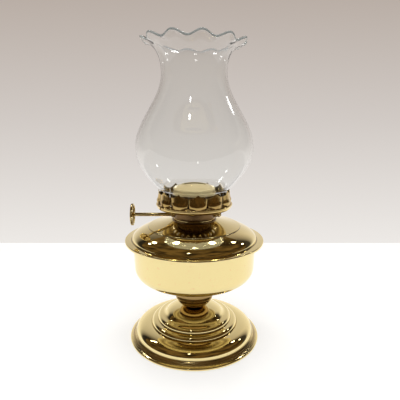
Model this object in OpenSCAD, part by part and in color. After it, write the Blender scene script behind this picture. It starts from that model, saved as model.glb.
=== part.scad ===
// Brass table oil lamp with a flat-wick burner and a crimp-top glass chimney.
// Millimetres, +Z up, the lamp's axis on Z, the table at Z = 0, the viewer at -Y.

/* [Foot] */
// Radius over the rolled edge
foot_r = 64.3; // [60:0.1:66]
// Radius of the rolled edge
foot_bead_r = 1.3; // [1:0.1:1.6]
// Depth that the rolled edge is worn flat where it stands
foot_flat = 0.2; // [0.1:0.05:0.4]
// Thickness of the spun foot
foot_wall = 1; // [0.6:0.1:1.2]
// Width of the flange round the lower dome
foot_flange_w = 6; // [5:0.1:8]
// Height of the corner between flange and lower dome
foot_flange_rise = 6; // [4.2:0.1:7]
// Width of the lower dome
foot_dome_w = 15.6; // [12:0.1:18]
// Rise of the lower dome
foot_dome_rise = 8.6; // [7:0.1:13]
// Radius of the lower step's round edge
foot_step_1_round = 3.5; // [2.5:0.1:4]
// Width of the lower step's tread
foot_tread_1_w = 2.7; // [1.5:0.1:4]
// Radius of the upper step's round edge
foot_step_2_round = 3.3; // [2.5:0.1:4]
// Width of the upper step's tread
foot_tread_2_w = 4.4; // [2:0.1:6]
// Rise of each tread and riser
foot_step_rise = 0.4; // [0.2:0.1:0.8]
// Rise of the upper dome
foot_top_rise = 7.2; // [5:0.1:10]
// Radius of the flat on top of the foot
foot_top_r = 9; // [8:0.1:12]

/* [Stem] */
// Outer radius of the stem cup
cup_r = 19.8; // [17:0.1:20]
// Height of the stem cup
cup_h = 25; // [21:0.1:34]
// Rise of the cup's rounded underside
cup_under_h = 18; // [12:0.1:20]
// Radius of the flat that the cup stands on
cup_foot_r = 5; // [4.5:0.1:7]
// Thickness of the cup
cup_wall = 1; // [0.6:0.1:1.4]
// Radius of the tie rod
rod_r = 3; // [2.5:0.1:3.5]
// Clearance of the tie rod in the foot, the washer and the cup
rod_gap = 0.2; // [0.1:0.05:0.4]
// Length of rod below the nut
rod_tail = 2; // [1:0.5:5]
// Depth of the rod's seat in the boss
rod_seat = 8; // [5:0.5:10]
// Radius of the washer under the foot
washer_r = 8; // [6:0.1:8.5]
// Thickness of the washer
washer_t = 1.2; // [0.8:0.1:2]
// Nut size across the flats
nut_flats = 10; // [8:0.5:12]
// Height of the nut
nut_h = 5; // [4:0.5:6]
// Radius of the boss plate under the font
boss_plate_r = 12; // [9:0.5:14]
// Thickness of the boss plate
boss_plate_t = 2; // [1:0.1:3]
// Radius of the boss
boss_r = 6.5; // [5:0.1:8]
// Height of the boss with its plate
boss_h = 12; // [11:0.5:15]

/* [Font] */
// Radius over the hem of the font's flange
font_r = 66.5; // [63:0.1:72]
// Sheet thickness of the bowl and the cover
font_wall = 0.8; // [0.6:0.1:1]
// Depth of the cover's hem below the bowl's flange
font_hem_drop = 0.3; // [0.2:0.1:0.6]
// Outer radius at the bottom of the bowl's wall
bowl_r = 57.4; // [52:0.1:60]
// How much wider the bowl is at its flange
bowl_flare = 0.8; // [0:0.1:1.5]
// Height of the bowl's wall above its round corner
bowl_wall_h = 25; // [15:0.1:30]
// Radius of the bowl's round corner
bowl_round = 12.5; // [8:0.1:18]
// Slope of the bowl's underside in degrees
bowl_slope = 16; // [10:0.5:24]
// Radius of the flat at the bottom of the bowl
bowl_flat_r = 20.6; // [20.2:0.1:24]
// Outer radius of the cover's shoulder
cover_r = 59.8; // [54:0.1:61]
// Height of the fillet between flange and shoulder
cover_fillet = 0.4; // [0.2:0.1:1]
// Width of the cover's shoulder
cover_shoulder_w = 15.4; // [11:0.1:18]
// Rise of the cover's shoulder
cover_shoulder_rise = 11.2; // [8:0.1:15]
// Rise of the step above the shoulder
cover_step = 0.9; // [0.4:0.1:1.5]
// Rise of the inner dome up to the neck
cover_inner_rise = 5.7; // [4:0.1:9]
// Share of that rise by which the inner dome steepens towards the neck
cover_inner_hollow = 0.15; // [0:0.01:0.3]
// Radius of the neck
neck_r = 21; // [20:0.1:23]
// Inner radius of the collar, at the thread
collar_bore_r = 15.9; // [15:0.1:16.5]
// Radial thickness of the collar's sleeve
collar_wall = 1.6; // [1:0.1:2]
// Thickness of the collar's flange
collar_flange_t = 1.2; // [0.8:0.1:2]
// Length of the collar's sleeve below its flange
collar_sleeve_h = 8; // [6:0.1:10]

/* [Burner] */
// Clearance between the screw ring and the collar
thread_gap = 0.2; // [0.1:0.05:0.4]
// Length of the screw ring's skirt
skirt_h = 8; // [6:0.1:10]
// Radial thickness of the skirt
skirt_wall = 1.2; // [0.8:0.1:1.5]
// Thickness of the screw ring's shoulder
shoulder_t = 0.8; // [0.6:0.1:1.5]
// Radius of the burner's drum
drum_r = 20; // [19.5:0.1:22]
// Sheet thickness of the burner's spun pieces
burner_wall = 0.7; // [0.5:0.1:0.9]
// Height of the drum
drum_h = 23.6; // [22:0.1:30]
// Thickness of the drum's floor
floor_t = 0.8; // [0.6:0.1:1]
// Fit of the pressed and soldered pieces
press_gap = 0.05; // [0.03:0.01:0.1]
// Number of air holes round the drum
drum_hole_count = 20; // [10:2:24]
// Radius of those air holes
drum_hole_r = 1.2; // [0.8:0.1:1.3]
// Height of those air holes above the drum's underside
drum_hole_z = 16.2; // [16:0.1:18]

/* [Wick] */
// Width of the flat wick
wick_w = 19; // [15:0.1:20]
// Thickness of the wick
wick_t = 2.2; // [1.8:0.1:2.6]
// Length of the wick
wick_len = 81; // [70:1:84]
// Height of the wick above its tube
wick_proud = 0.8; // [0:0.1:2]
// Clearance between the wick and its tube
wick_gap = 0.25; // [0.2:0.05:0.4]
// Wall of the wick tube
tube_wall = 0.5; // [0.4:0.1:0.7]
// Length of the wick tube below the drum's floor
tube_drop = 5; // [3:0.5:8]
// Height of the wick tube above the drum's underside
tube_rise = 28.2; // [26:0.1:29]

/* [Wick raiser] */
// Radius of the raiser shaft
shaft_r = 1.7; // [1.4:0.1:1.9]
// Running clearance of the shaft in its bushes
shaft_gap = 0.05; // [0.03:0.01:0.1]
// Height of the shaft above the drum's underside
shaft_z = 3.7; // [3.6:0.1:4]
// Radius of the shaft's bushes
bush_r = 2.6; // [2.4:0.1:2.7]
// Length that a bush stands out of the drum
bush_out = 2.4; // [1.5:0.1:4]
// Length that a bush reaches into the drum
bush_in = 1; // [0.5:0.1:2]
// Free end of the shaft beyond the far bush
shaft_tail = 3.9; // [3.4:0.1:8]
// Radius of the stop ring near the shaft's free end
stop_r = 2.5; // [2.4:0.1:4]
// Length of the stop ring
stop_len = 2.2; // [1.5:0.1:3]
// End play of the shaft
end_play = 0.3; // [0.2:0.05:0.6]
// Radius over the teeth of a spur wheel
spur_r = 4.2; // [3.8:0.1:4.4]
// Depth of the teeth
spur_tooth = 1.3; // [0.8:0.1:1.6]
// Number of teeth on a spur wheel
spur_teeth = 11; // [8:1:14]
// Thickness of a spur wheel
spur_t = 1.2; // [0.8:0.1:1.6]
// Distance of each spur wheel from the middle of the wick
spur_x = 5.5; // [4:0.1:7]
// Gap between the teeth and the wick
spur_gap = 0.3; // [0.2:0.05:0.4]
// Clearance round a spur wheel in the slots that it runs through
spur_slot_gap = 0.5; // [0.3:0.1:0.8]
// Distance of the thumbwheel from the lamp's axis
thumb_x = 58.3; // [48:0.1:60]
// Radius of the thumbwheel
thumb_r = 10.3; // [8:0.1:11]
// Width of the thumbwheel's rim
thumb_rim_w = 2.4; // [1.6:0.1:3]
// Depth of the thumbwheel's rim
thumb_rim_t = 1.6; // [1.2:0.1:2]
// Thickness of the thumbwheel's web
thumb_web_t = 1; // [0.7:0.1:1.4]
// Number of notches round the thumbwheel
thumb_notches = 36; // [24:2:40]
// Radius of those notches
thumb_notch_r = 0.55; // [0.3:0.05:0.6]
// Radius of the thumbwheel's hub
hub_r = 2.7; // [2.6:0.1:4]
// Length of the hub
hub_len = 3.6; // [3.2:0.1:6]

/* [Gallery] */
// Height of the pan's underside above the drum's underside
pan_z = 8.4; // [8:0.1:9]
// Rise from the drum to the chimney's seat
pan_rise = 1; // [0.5:0.1:2]
// Width of the seat inside the glass
pan_seat_in = 2.2; // [1:0.1:3]
// Width of the seat outside the glass
pan_seat_out = 0.9; // [0.6:0.1:2]
// Radius of the pan's round side
pan_round = 3.2; // [2.5:0.1:4]
// Radius of the bead round the pan
pan_bead_r = 0.8; // [0.6:0.1:1]
// Height of the pan's sleeve round the drum
pan_sleeve_h = 3.5; // [2:0.1:5]
// Number of air holes in the pan
pan_hole_count = 24; // [12:2:30]
// Radius of the pan's air holes
pan_hole_r = 1.4; // [1:0.1:1.5]
// Number of petals on the coronet
petal_count = 12; // [8:1:16]
// Turn of the first petal from +X, in degrees
petal_turn = -84; // [-90:1:-60]
// Height of the coronet
coronet_h = 15; // [12:0.1:17]
// Height of the coronet's plain band
coronet_band_h = 2; // [1:0.1:3]
// How far the middle of each petal stands in from the band
petal_set = 0.15; // [0.1:0.05:0.4]
// Depth of the scallops between the petal tips
scallop_h = 3.4; // [2.5:0.1:5]
// Width of the slits between the petals
slit_w = 0.8; // [0.5:0.1:1.2]
// Length of the slits below the scallops
slit_h = 8; // [5:0.1:8.5]
// Radius of the hole at the foot of each slit
slit_hole_r = 0.9; // [0.6:0.1:1.2]
// Gap between the petals' edges and the glass
petal_gap = 0.3; // [0.2:0.05:0.6]

/* [Deflector] */
// Height of the deflector above the drum
deflector_h = 9.4; // [8:0.1:9.4]
// How far the deflector's bead stands out from the drum
deflector_bead = 0.6; // [0.3:0.1:1]
// Height of that bead
deflector_bead_h = 1.2; // [0.8:0.1:2]
// Radius of the deflector's round shoulder
deflector_round = 1.8; // [1.2:0.1:3]
// Crown of the deflector's top
deflector_crown = 3.4; // [1:0.1:3.6]
// Depth of the deflector's lip inside the drum
deflector_lip_h = 3; // [2:0.1:4]
// Length of the flame slot
flame_slot_l = 23.6; // [22:0.1:26]
// Width of the flame slot
flame_slot_w = 7; // [5:0.1:8]
// Height of the air plate above the drum's underside
air_plate_z = 12; // [11.9:0.1:13]
// Radius of the holes in the air plate
air_hole_r = 0.9; // [0.6:0.1:1]
// Number of holes in each ring of the air plate
air_hole_count = 24; // [18:2:28]

/* [Chimney] */
// Outer radius of the fitter
fitter_r = 31.75; // [30.5:0.05:33]
// Height of the fitter
fitter_h = 17; // [16:0.1:20]
// Thickness of the glass
glass_wall = 2; // [1.5:0.1:2.5]
// Radius of the bulb
bulb_r = 54.3; // [48:0.1:58]
// Height from the fitter to the widest part of the bulb
bulb_h = 39.5; // [32:0.1:46]
// Radius of the waist
waist_r = 29.6; // [26:0.1:33]
// Height from the widest part of the bulb to the waist
waist_h = 66; // [56:0.1:76]
// Width of the flare above the waist
flare_w = 15.4; // [12:0.1:18]
// Rise of the flare above the waist
flare_h = 25.4; // [22:0.1:32]
// Number of crimps round the rim
crimp_count = 12; // [8:1:14]
// How far a crimp moves the rim in and out
crimp_r = 1.8; // [1:0.1:3]
// How far a crimp moves the rim up and down
crimp_z = 1.9; // [1:0.1:3]
// Turn of the first crimp from +X, in degrees
crimp_turn = -82; // [-90:1:-60]
// How far the hand-made rim is out of level
rim_lean = 1.4; // [0:0.1:2]

/* [Hidden] */
$fn = 96;

// Finishes
brass = [0.83, 0.68, 0.30];
old_brass = [0.55, 0.41, 0.17];
steel = [0.62, 0.62, 0.60];
cotton = [0.88, 0.85, 0.76];
glass = [0.82, 0.88, 0.86, 0.35];

// How far a cut runs past the face it starts from
past = 1;
// Steps in each round stretch of a profile
arc_steps = 8;
// Steps along each long curve of the glass
glass_steps = 12;

// Radii of the foot, from the rolled edge inwards
foot_dome_r = foot_r - foot_flange_w;
foot_step_1_r = foot_dome_r - foot_dome_w;
foot_step_2_r = foot_step_1_r - foot_step_1_round - foot_tread_1_w;
foot_crown_r = foot_step_2_r - foot_step_2_round - foot_tread_2_w;
// Heights of the foot, from the table up
foot_dome_z = foot_flange_rise + foot_dome_rise;
foot_tread_1_z = foot_dome_z + foot_step_rise + foot_step_1_round;
foot_tread_2_z = foot_tread_1_z + 3 * foot_step_rise + foot_step_2_round;
foot_crown_z = foot_tread_2_z + foot_step_rise;
foot_h = foot_crown_z + foot_top_rise;

// How much fuller than an ellipse the lower dome is
foot_fullness = 2.5;

// The clamped stack in the stem
rod_hole_r = rod_r + rod_gap;
washer_z = foot_h - foot_wall - washer_t;
nut_z = washer_z - nut_h;
font_z = foot_h + cup_h;
boss_z = font_z - boss_h;

// The font, from its flat bottom up
bowl_corner_r = bowl_r - bowl_round;
bowl_under_r = bowl_corner_r + bowl_round * sin(bowl_slope);
bowl_corner_z = font_z + (bowl_under_r - bowl_flat_r) * tan(bowl_slope) + bowl_round * cos(bowl_slope);
flange_z = bowl_corner_z + bowl_wall_h;
flange_top_z = flange_z + 2 * font_wall;
hem_gap = 0.1;
bowl_flange_r = font_r - font_wall - hem_gap;
cover_step_r = cover_r - cover_shoulder_w;
cover_step_z = flange_top_z + cover_fillet + cover_shoulder_rise;
neck_z = cover_step_z + cover_step + cover_inner_rise;
collar_r = collar_bore_r + collar_wall;
collar_top_z = neck_z + collar_flange_t;
collar_gap = 0.1;

// The burner, from the collar up
skirt_r = collar_bore_r - thread_gap;
skirt_bore_r = skirt_r - skirt_wall;
drum_z = collar_top_z + shoulder_t;
drum_top_z = drum_z + drum_h;
drum_bore_r = drum_r - burner_wall;
// Rings of holes in the air plate, as shares of its radius
air_ring_shares = [0.5, 0.68, 0.86];

// The wick and its raiser
tube_w = wick_w + 2 * (wick_gap + tube_wall);
tube_t = wick_t + 2 * (wick_gap + tube_wall);
tube_top_z = drum_z + tube_rise;
wick_top_z = tube_top_z + wick_proud;
raiser_y = -(wick_t / 2 + spur_gap + spur_r);
raiser_z = drum_z + shaft_z;
drum_side_x = sqrt(drum_r * drum_r - raiser_y * raiser_y);
bush_end_x = drum_side_x + bush_out;
bush_start_x = drum_side_x - burner_wall - bush_in;
shaft_end_x = bush_end_x + shaft_tail;
spur_slot_w = spur_t + 2 * spur_slot_gap;
spur_slot_l = 2 * spur_r;
// Where the wheel passes the front wall of the tube
spur_chord = 2 * sqrt(spur_r * spur_r - pow(raiser_y + tube_t / 2, 2));
window_h = spur_chord + 2 * spur_slot_gap;

// The gallery
sleeve_r = drum_r + press_gap;
pan_base_z = drum_z + pan_z;
seat_z = pan_base_z + pan_rise + burner_wall;
pan_seat_in_r = fitter_r - glass_wall - pan_seat_in;
pan_corner_r = fitter_r + pan_seat_out;
pan_r = pan_corner_r + pan_round;
pan_rim_z = pan_base_z + pan_rise + pan_round;
pan_bead_z = pan_rim_z + pan_bead_r;
pan_hole_at = (sleeve_r + burner_wall + pan_seat_in_r) / 2;
coronet_r = pan_r - burner_wall - press_gap;
coronet_top_z = pan_rim_z + coronet_h;
// Each petal bulges about an axis of its own, petal_at from the lamp's
petal_half = 180 / petal_count;
petal_mid_r = coronet_r - petal_set;
petal_edge_r = fitter_r + petal_gap + burner_wall;
petal_at = (petal_mid_r * petal_mid_r - petal_edge_r * petal_edge_r)
    / (2 * (petal_mid_r - petal_edge_r * cos(petal_half)));
petal_r = petal_mid_r - petal_at;
scallop_half = petal_edge_r * sin(petal_half);
scallop_z = coronet_top_z - scallop_h;
scallop_r = (scallop_half * scallop_half + scallop_h * scallop_h) / (2 * scallop_h);

// The chimney
fitter_top_z = seat_z + fitter_h;
bulb_z = fitter_top_z + bulb_h;
waist_z = bulb_z + waist_h;
// Powers of the flare's curve: how late it widens and how soon it stops rising
flare_widen = 2.1;
flare_rise = 1.5;
// Share of the flare below the crimps, and the power by which they deepen
crimp_from = 0.4;
crimp_deepen = 1.5;
// Steps of the plain flare, sides of the crimped rim and rings up it
flare_steps = 4;
rim_sides = 6 * crimp_count;
rim_rings = 8;
// Inset and depth of the crimped rim's root in the plain glass
rim_inset = 0.1;
rim_root_h = 0.3;
// How far the lip swells above the ends of both faces
lip_swell = glass_wall / 3;

// Points of an arc about [cr, cz]
function arc_points(cr, cz, r, from, to, n = arc_steps) =
    [for (i = [0:n]) let (a = from + (to - from) * i / n) [cr + r * cos(a), cz + r * sin(a)]];

// Points of a parabola that leaves [r, z] upright and ends w further in and h higher
function parabola_points(r, z, w, h, n = arc_steps) =
    [for (i = [0:n]) let (s = i / n) [r - w * s * s, z + h * s]];

// Points of a dome that leaves [r, z] upright and ends level, w further in and h higher:
// a quarter ellipse at a fullness of 2, and squarer above that
function swell_points(r, z, w, h, fullness = 2, n = arc_steps) =
    [for (i = [0:n])
        let (a = 90 * i / n)
        [r - w * (1 - pow(cos(a), 2 / fullness)), z + h * pow(sin(a), 2 / fullness)]];

// Unit normal to the left of the step from p to q
function left_of(p, q) = [p[1] - q[1], q[0] - p[0]] / norm(q - p);

// The path moved d to its left, with mitred corners
function beside(path, d) =
    let (n = len(path) - 1)
    [for (i = [0:n])
        let (
            a = left_of(path[max(i - 1, 0)], path[max(i, 1)]),
            b = left_of(path[min(i, n - 1)], path[min(i + 1, n)])
        )
        path[i] + d * (a + b) / (1 + a * b)];

function backwards(path) = [for (i = [len(path) - 1:-1:0]) path[i]];

// Cross-section of a sheet whose face follows the path, with its wall on the path's left
module sheet(path, wall) {
    polygon(concat(path, backwards(beside(path, wall))));
}

// A ring of rectangular cross-section
module ring(outer_r, inner_r, z, h) {
    translate([0, 0, z])
        difference() {
            cylinder(r = outer_r, h = h);
            translate([0, 0, -past])
                cylinder(r = inner_r, h = h + 2 * past);
        }
}

// A flat bar with round ends along X
module round_bar(w, t, z, h) {
    translate([0, 0, z])
        linear_extrude(h)
            union() {
                square([w - t, t], center = true);
                for (side = [-1, 1])
                    translate([side * (w - t) / 2, 0])
                        circle(d = t);
            }
}

// A rod along X on the raiser's axis
module on_raiser(x, r, len) {
    translate([x, raiser_y, raiser_z])
        rotate([0, 90, 0])
            cylinder(r = r, h = len);
}

// Spun brass foot: flange, lower dome, two round-edged steps and upper dome
foot_path = concat(
    [
        [foot_r - foot_bead_r, 2 * foot_bead_r - foot_flat],
        [foot_dome_r + foot_step_rise, foot_flange_rise - foot_step_rise]
    ],
    swell_points(foot_dome_r, foot_flange_rise, foot_dome_w, foot_dome_rise, foot_fullness),
    arc_points(
        foot_step_1_r - foot_step_1_round, foot_dome_z + foot_step_rise, foot_step_1_round, 0, 90
    ),
    [[foot_step_2_r, foot_tread_1_z + 2 * foot_step_rise]],
    arc_points(
        foot_step_2_r - foot_step_2_round, foot_tread_1_z + 3 * foot_step_rise,
        foot_step_2_round, 0, 90
    ),
    swell_points(foot_crown_r, foot_crown_z, foot_crown_r - foot_top_r, foot_top_rise),
    [[rod_hole_r, foot_h]]
);

module foot() {
    color(brass)
        rotate_extrude()
            union() {
                sheet(foot_path, foot_wall);
                difference() {
                    translate([foot_r - foot_bead_r, foot_bead_r - foot_flat])
                        circle(r = foot_bead_r);
                    translate([0, -2 * foot_bead_r])
                        square([foot_r + past, 2 * foot_bead_r]);
                }
            }
}

module foot_washer() {
    color(steel)
        ring(washer_r, rod_hole_r, washer_z, washer_t);
}

module foot_nut() {
    color(steel)
        translate([0, 0, nut_z])
            difference() {
                cylinder(d = nut_flats / cos(30), h = nut_h, $fn = 6);
                translate([0, 0, -past])
                    cylinder(r = rod_r + press_gap, h = nut_h + 2 * past);
            }
}

module tie_rod() {
    color(steel)
        translate([0, 0, nut_z - rod_tail])
            cylinder(r = rod_r, h = boss_z + rod_seat - nut_z + rod_tail);
}

// Stem cup: round underside, straight side, open at the top under the font
cup_path = concat(
    [[cup_r, font_z]],
    backwards([
        for (i = [0:arc_steps])
            let (a = 90 * i / arc_steps)
            [
                cup_foot_r + (cup_r - cup_foot_r) * sin(a),
                foot_h + cup_under_h * (1 - cos(a))
            ]
    ]),
    [[rod_hole_r, foot_h]]
);

module stem_cup() {
    color(brass)
        rotate_extrude()
            sheet(cup_path, -cup_wall);
}

// Boss soldered under the font, where the tie rod screws in
module font_boss() {
    color(brass)
        difference() {
            union() {
                translate([0, 0, boss_z])
                    cylinder(r = boss_r, h = boss_h);
                translate([0, 0, font_z - boss_plate_t])
                    cylinder(r = boss_plate_r, h = boss_plate_t);
            }
            translate([0, 0, boss_z - past])
                cylinder(r = rod_r + press_gap, h = rod_seat + past);
        }
}

// Lower half of the font: flange, wall, round corner, sloping underside, flat
bowl_path = concat(
    [[bowl_flange_r, flange_z], [bowl_r + bowl_flare, flange_z]],
    arc_points(bowl_corner_r, bowl_corner_z, bowl_round, 0, bowl_slope - 90),
    [[bowl_flat_r, font_z], [0, font_z]]
);

module font_bowl() {
    color(brass)
        rotate_extrude()
            sheet(bowl_path, -font_wall);
}

// Upper half of the font: flange, round shoulder, step, inner dome, neck
cover_path = concat(
    [
        [font_r, flange_top_z],
        [cover_r + cover_fillet, flange_top_z]
    ],
    parabola_points(cover_r, flange_top_z + cover_fillet, cover_shoulder_w, cover_shoulder_rise),
    [
        for (i = [0:arc_steps])
            let (
                s = i / arc_steps,
                start = cover_step_r - cover_step,
                rise = (1 - cover_inner_hollow) * s + cover_inner_hollow * s * s
            )
            [start - (start - neck_r) * s, cover_step_z + cover_step + cover_inner_rise * rise]
    ],
    [[collar_r + collar_gap, neck_z]]
);

module font_cover() {
    color(brass)
        union() {
            rotate_extrude()
                sheet(cover_path, font_wall);
            ring(font_r, font_r - font_wall, flange_z - font_hem_drop, font_hem_drop + 2 * font_wall);
        }
}

// Collar soldered in the neck, threaded inside for the burner
module font_collar() {
    color(brass)
        union() {
            ring(neck_r - collar_gap, collar_bore_r, neck_z, collar_flange_t);
            ring(collar_r, collar_bore_r, neck_z - collar_sleeve_h, collar_sleeve_h + collar_flange_t);
        }
}

// Threaded ring of the burner: skirt in the collar, shoulder on top of it
module screw_ring() {
    color(old_brass)
        union() {
            ring(drum_r - collar_gap, skirt_bore_r, collar_top_z, shoulder_t);
            ring(skirt_r, skirt_bore_r, collar_top_z - skirt_h, skirt_h + shoulder_t);
        }
}

// Drawn drum of the burner, with its floor, air holes and shaft holes
module burner_drum() {
    color(old_brass)
        difference() {
            union() {
                ring(drum_r, drum_bore_r, drum_z, drum_h);
                translate([0, 0, drum_z])
                    cylinder(r = drum_r, h = floor_t);
            }
            round_bar(tube_w + 2 * press_gap, tube_t + 2 * press_gap, drum_z - past, floor_t + 2 * past);
            for (side = [-1, 1])
                translate([side * spur_x - spur_slot_w / 2, -tube_t / 2 - spur_slot_l, drum_z - past])
                    cube([spur_slot_w, spur_slot_l + tube_t / 2, floor_t + 2 * past]);
            on_raiser(-drum_r - past, bush_r + press_gap, 2 * (drum_r + past));
            for (i = [0:drum_hole_count - 1])
                rotate(360 * (i + 0.5) / drum_hole_count)
                    translate([drum_bore_r - past, 0, drum_z + drum_hole_z])
                        rotate([0, 90, 0])
                            cylinder(r = drum_hole_r, h = burner_wall + 2 * past);
        }
}

module shaft_bushes() {
    color(brass)
        for (x = [-bush_end_x, bush_start_x])
            difference() {
                on_raiser(x, bush_r, bush_end_x - bush_start_x);
                on_raiser(x - past, shaft_r + shaft_gap, bush_end_x - bush_start_x + 2 * past);
            }
}

// Flat tube round the wick, with a window for each spur wheel
module wick_tube() {
    color(brass)
        difference() {
            round_bar(tube_w, tube_t, drum_z - tube_drop, tube_drop + tube_rise);
            round_bar(
                tube_w - 2 * tube_wall, tube_t - 2 * tube_wall,
                drum_z - tube_drop - past, tube_drop + tube_rise + 2 * past
            );
            for (side = [-1, 1])
                translate([side * spur_x - spur_slot_w / 2, -tube_t, raiser_z - window_h / 2])
                    cube([spur_slot_w, tube_t, window_h]);
        }
}

// Perforated plate that spreads the air under the deflector
module air_plate() {
    plate_r = drum_bore_r - press_gap;
    color(brass)
        difference() {
            translate([0, 0, drum_z + air_plate_z])
                cylinder(r = plate_r, h = burner_wall);
            round_bar(
                tube_w + 2 * press_gap, tube_t + 2 * press_gap,
                drum_z + air_plate_z - past, burner_wall + 2 * past
            );
            for (at = air_ring_shares, i = [0:air_hole_count - 1])
                let (turn = 360 * (i + at) / air_hole_count)
                    if (abs(plate_r * at * sin(turn)) > tube_t / 2 + 2 * air_hole_r)
                        rotate(turn)
                            translate([plate_r * at, 0, drum_z + air_plate_z - past])
                                cylinder(r = air_hole_r, h = burner_wall + 2 * past);
        }
}

// Pan of the gallery: sleeve on the drum, perforated floor, seat for the glass, beaded rim
pan_path = concat(
    [
        [sleeve_r, pan_base_z],
        [sleeve_r + burner_wall, pan_base_z],
        [pan_seat_in_r, pan_base_z + pan_rise]
    ],
    arc_points(pan_corner_r, pan_rim_z, pan_round, -90, 0),
    [[pan_r, pan_bead_z]]
);

module gallery_pan() {
    color(brass)
        difference() {
            union() {
                rotate_extrude()
                    union() {
                        sheet(pan_path, burner_wall);
                        translate([pan_r - burner_wall / 2, pan_bead_z])
                            circle(r = pan_bead_r);
                    }
                ring(sleeve_r + burner_wall, sleeve_r, pan_base_z, pan_sleeve_h);
            }
            translate([0, 0, pan_rim_z])
                cylinder(r = pan_r - burner_wall, h = pan_round);
            for (i = [0:pan_hole_count - 1])
                rotate(360 * i / pan_hole_count)
                    translate([pan_hole_at, 0, pan_base_z - past])
                        cylinder(r = pan_hole_r, h = pan_rise + burner_wall + 2 * past);
        }
}

// A lobed disc, one lobe for each petal
module lobes(r) {
    union() {
        circle(r = petal_at);
        for (i = [0:petal_count - 1])
            rotate(petal_turn + 360 * i / petal_count)
                translate([petal_at, 0])
                    circle(r = r);
    }
}

// Coronet of springy petals that grip the glass, on a plain band in the pan's rim
module gallery_coronet() {
    color(old_brass)
        difference() {
            union() {
                ring(coronet_r, coronet_r - burner_wall, pan_rim_z, coronet_band_h);
                translate([0, 0, pan_rim_z])
                    linear_extrude(coronet_h)
                        difference() {
                            lobes(petal_r);
                            lobes(petal_r - burner_wall);
                        }
            }
            for (i = [0:petal_count - 1])
                rotate(petal_turn + 360 * (i + 0.5) / petal_count) {
                    translate([petal_edge_r / 2, 0, scallop_z + scallop_r])
                        rotate([0, 90, 0])
                            cylinder(r = scallop_r, h = petal_edge_r);
                    translate([petal_edge_r / 2, -slit_w / 2, scallop_z - slit_h])
                        cube([petal_edge_r, slit_w, slit_h + scallop_h / 2]);
                    translate([petal_edge_r / 2, 0, scallop_z - slit_h])
                        rotate([0, 90, 0])
                            cylinder(r = slit_hole_r, h = petal_edge_r);
                }
        }
}

// Spun flame deflector: lip in the drum, bead, straight side, round shoulder, slotted top
deflector_top_r = drum_r - deflector_round;
deflector_side = concat(
    [[drum_r, drum_top_z + deflector_bead_h + deflector_bead]],
    arc_points(
        deflector_top_r, drum_top_z + deflector_h - deflector_crown - deflector_round,
        deflector_round, 0, 90
    ),
    [
        for (i = [1:arc_steps])
            let (s = 1 - i / arc_steps)
            [deflector_top_r * s, drum_top_z + deflector_h - deflector_crown * s * s]
    ]
);

module flame_deflector() {
    lip_r = drum_bore_r - press_gap;
    inside = beside(deflector_side, burner_wall);
    color(brass)
        difference() {
            union() {
                rotate_extrude()
                    polygon(concat(
                        [
                            [drum_r + deflector_bead, drum_top_z],
                            [drum_r + deflector_bead, drum_top_z + deflector_bead_h]
                        ],
                        deflector_side,
                        backwards([for (p = inside) [max(p[0], 0), p[1]]]),
                        [
                            [lip_r - burner_wall, drum_top_z + deflector_bead_h],
                            [lip_r - burner_wall, drum_top_z]
                        ]
                    ));
                ring(
                    lip_r, lip_r - burner_wall,
                    drum_top_z - deflector_lip_h, deflector_lip_h + deflector_bead_h
                );
            }
            round_bar(
                flame_slot_l, flame_slot_w,
                drum_top_z + deflector_h / 2, deflector_h / 2 + past
            );
        }
}

module raiser_shaft() {
    color(steel)
        on_raiser(-thumb_x - hub_len / 2, shaft_r, thumb_x + hub_len / 2 + shaft_end_x);
}

// Two toothed wheels that feed the wick
module spur_wheels() {
    color(steel)
        for (side = [-1, 1])
            translate([side * spur_x - spur_t / 2, raiser_y, raiser_z])
                rotate([0, 90, 0])
                    difference() {
                        linear_extrude(spur_t)
                            polygon([
                                for (i = [0:2 * spur_teeth - 1])
                                    let (r = i % 2 == 0 ? spur_r : spur_r - spur_tooth)
                                    r * [cos(180 * i / spur_teeth), sin(180 * i / spur_teeth)]
                            ]);
                        translate([0, 0, -past])
                            cylinder(r = shaft_r + press_gap, h = spur_t + 2 * past);
                    }
}

module shaft_stop() {
    color(steel)
        difference() {
            on_raiser(bush_end_x + end_play, stop_r, stop_len);
            on_raiser(bush_end_x, shaft_r + press_gap, stop_len + 2 * past);
        }
}

// Thumbwheel: dished web between a notched rim and the hub's seat
module thumbwheel() {
    web_r = thumb_r - thumb_rim_t;
    color(old_brass)
        translate([-thumb_x, raiser_y, raiser_z])
            rotate([0, 90, 0])
                difference() {
                    rotate_extrude()
                        polygon([
                            [hub_r + press_gap, -thumb_web_t],
                            [web_r, -thumb_rim_w / 2],
                            [thumb_r - thumb_notch_r / 2, -thumb_rim_w / 2],
                            [thumb_r, -thumb_rim_w / 2 + thumb_notch_r / 2],
                            [thumb_r, thumb_rim_w / 2 - thumb_notch_r / 2],
                            [thumb_r - thumb_notch_r / 2, thumb_rim_w / 2],
                            [web_r, thumb_rim_w / 2],
                            [web_r, thumb_web_t - thumb_rim_w / 2],
                            [hub_r + press_gap, 0]
                        ]);
                    for (i = [0:thumb_notches - 1])
                        rotate(360 * i / thumb_notches)
                            translate([thumb_r + thumb_notch_r / 3, 0, -thumb_rim_w])
                                cylinder(r = thumb_notch_r, h = 2 * thumb_rim_w);
                }
}

module thumbwheel_hub() {
    color(brass)
        difference() {
            on_raiser(-thumb_x - hub_len / 2, hub_r, hub_len);
            on_raiser(-thumb_x - hub_len / 2 - past, shaft_r + press_gap, hub_len + 2 * past);
        }
}

// Flat woven wick, hanging from its tube into the oil
module wick() {
    color(cotton)
        round_bar(wick_w, wick_t, wick_top_z - wick_len, wick_len);
}

// Outer face of the flare at share t of its length
function flare_point(t) = [
    waist_r + flare_w * pow(t, flare_widen),
    waist_z + flare_h * (1 - pow(1 - t, flare_rise))
];

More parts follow.
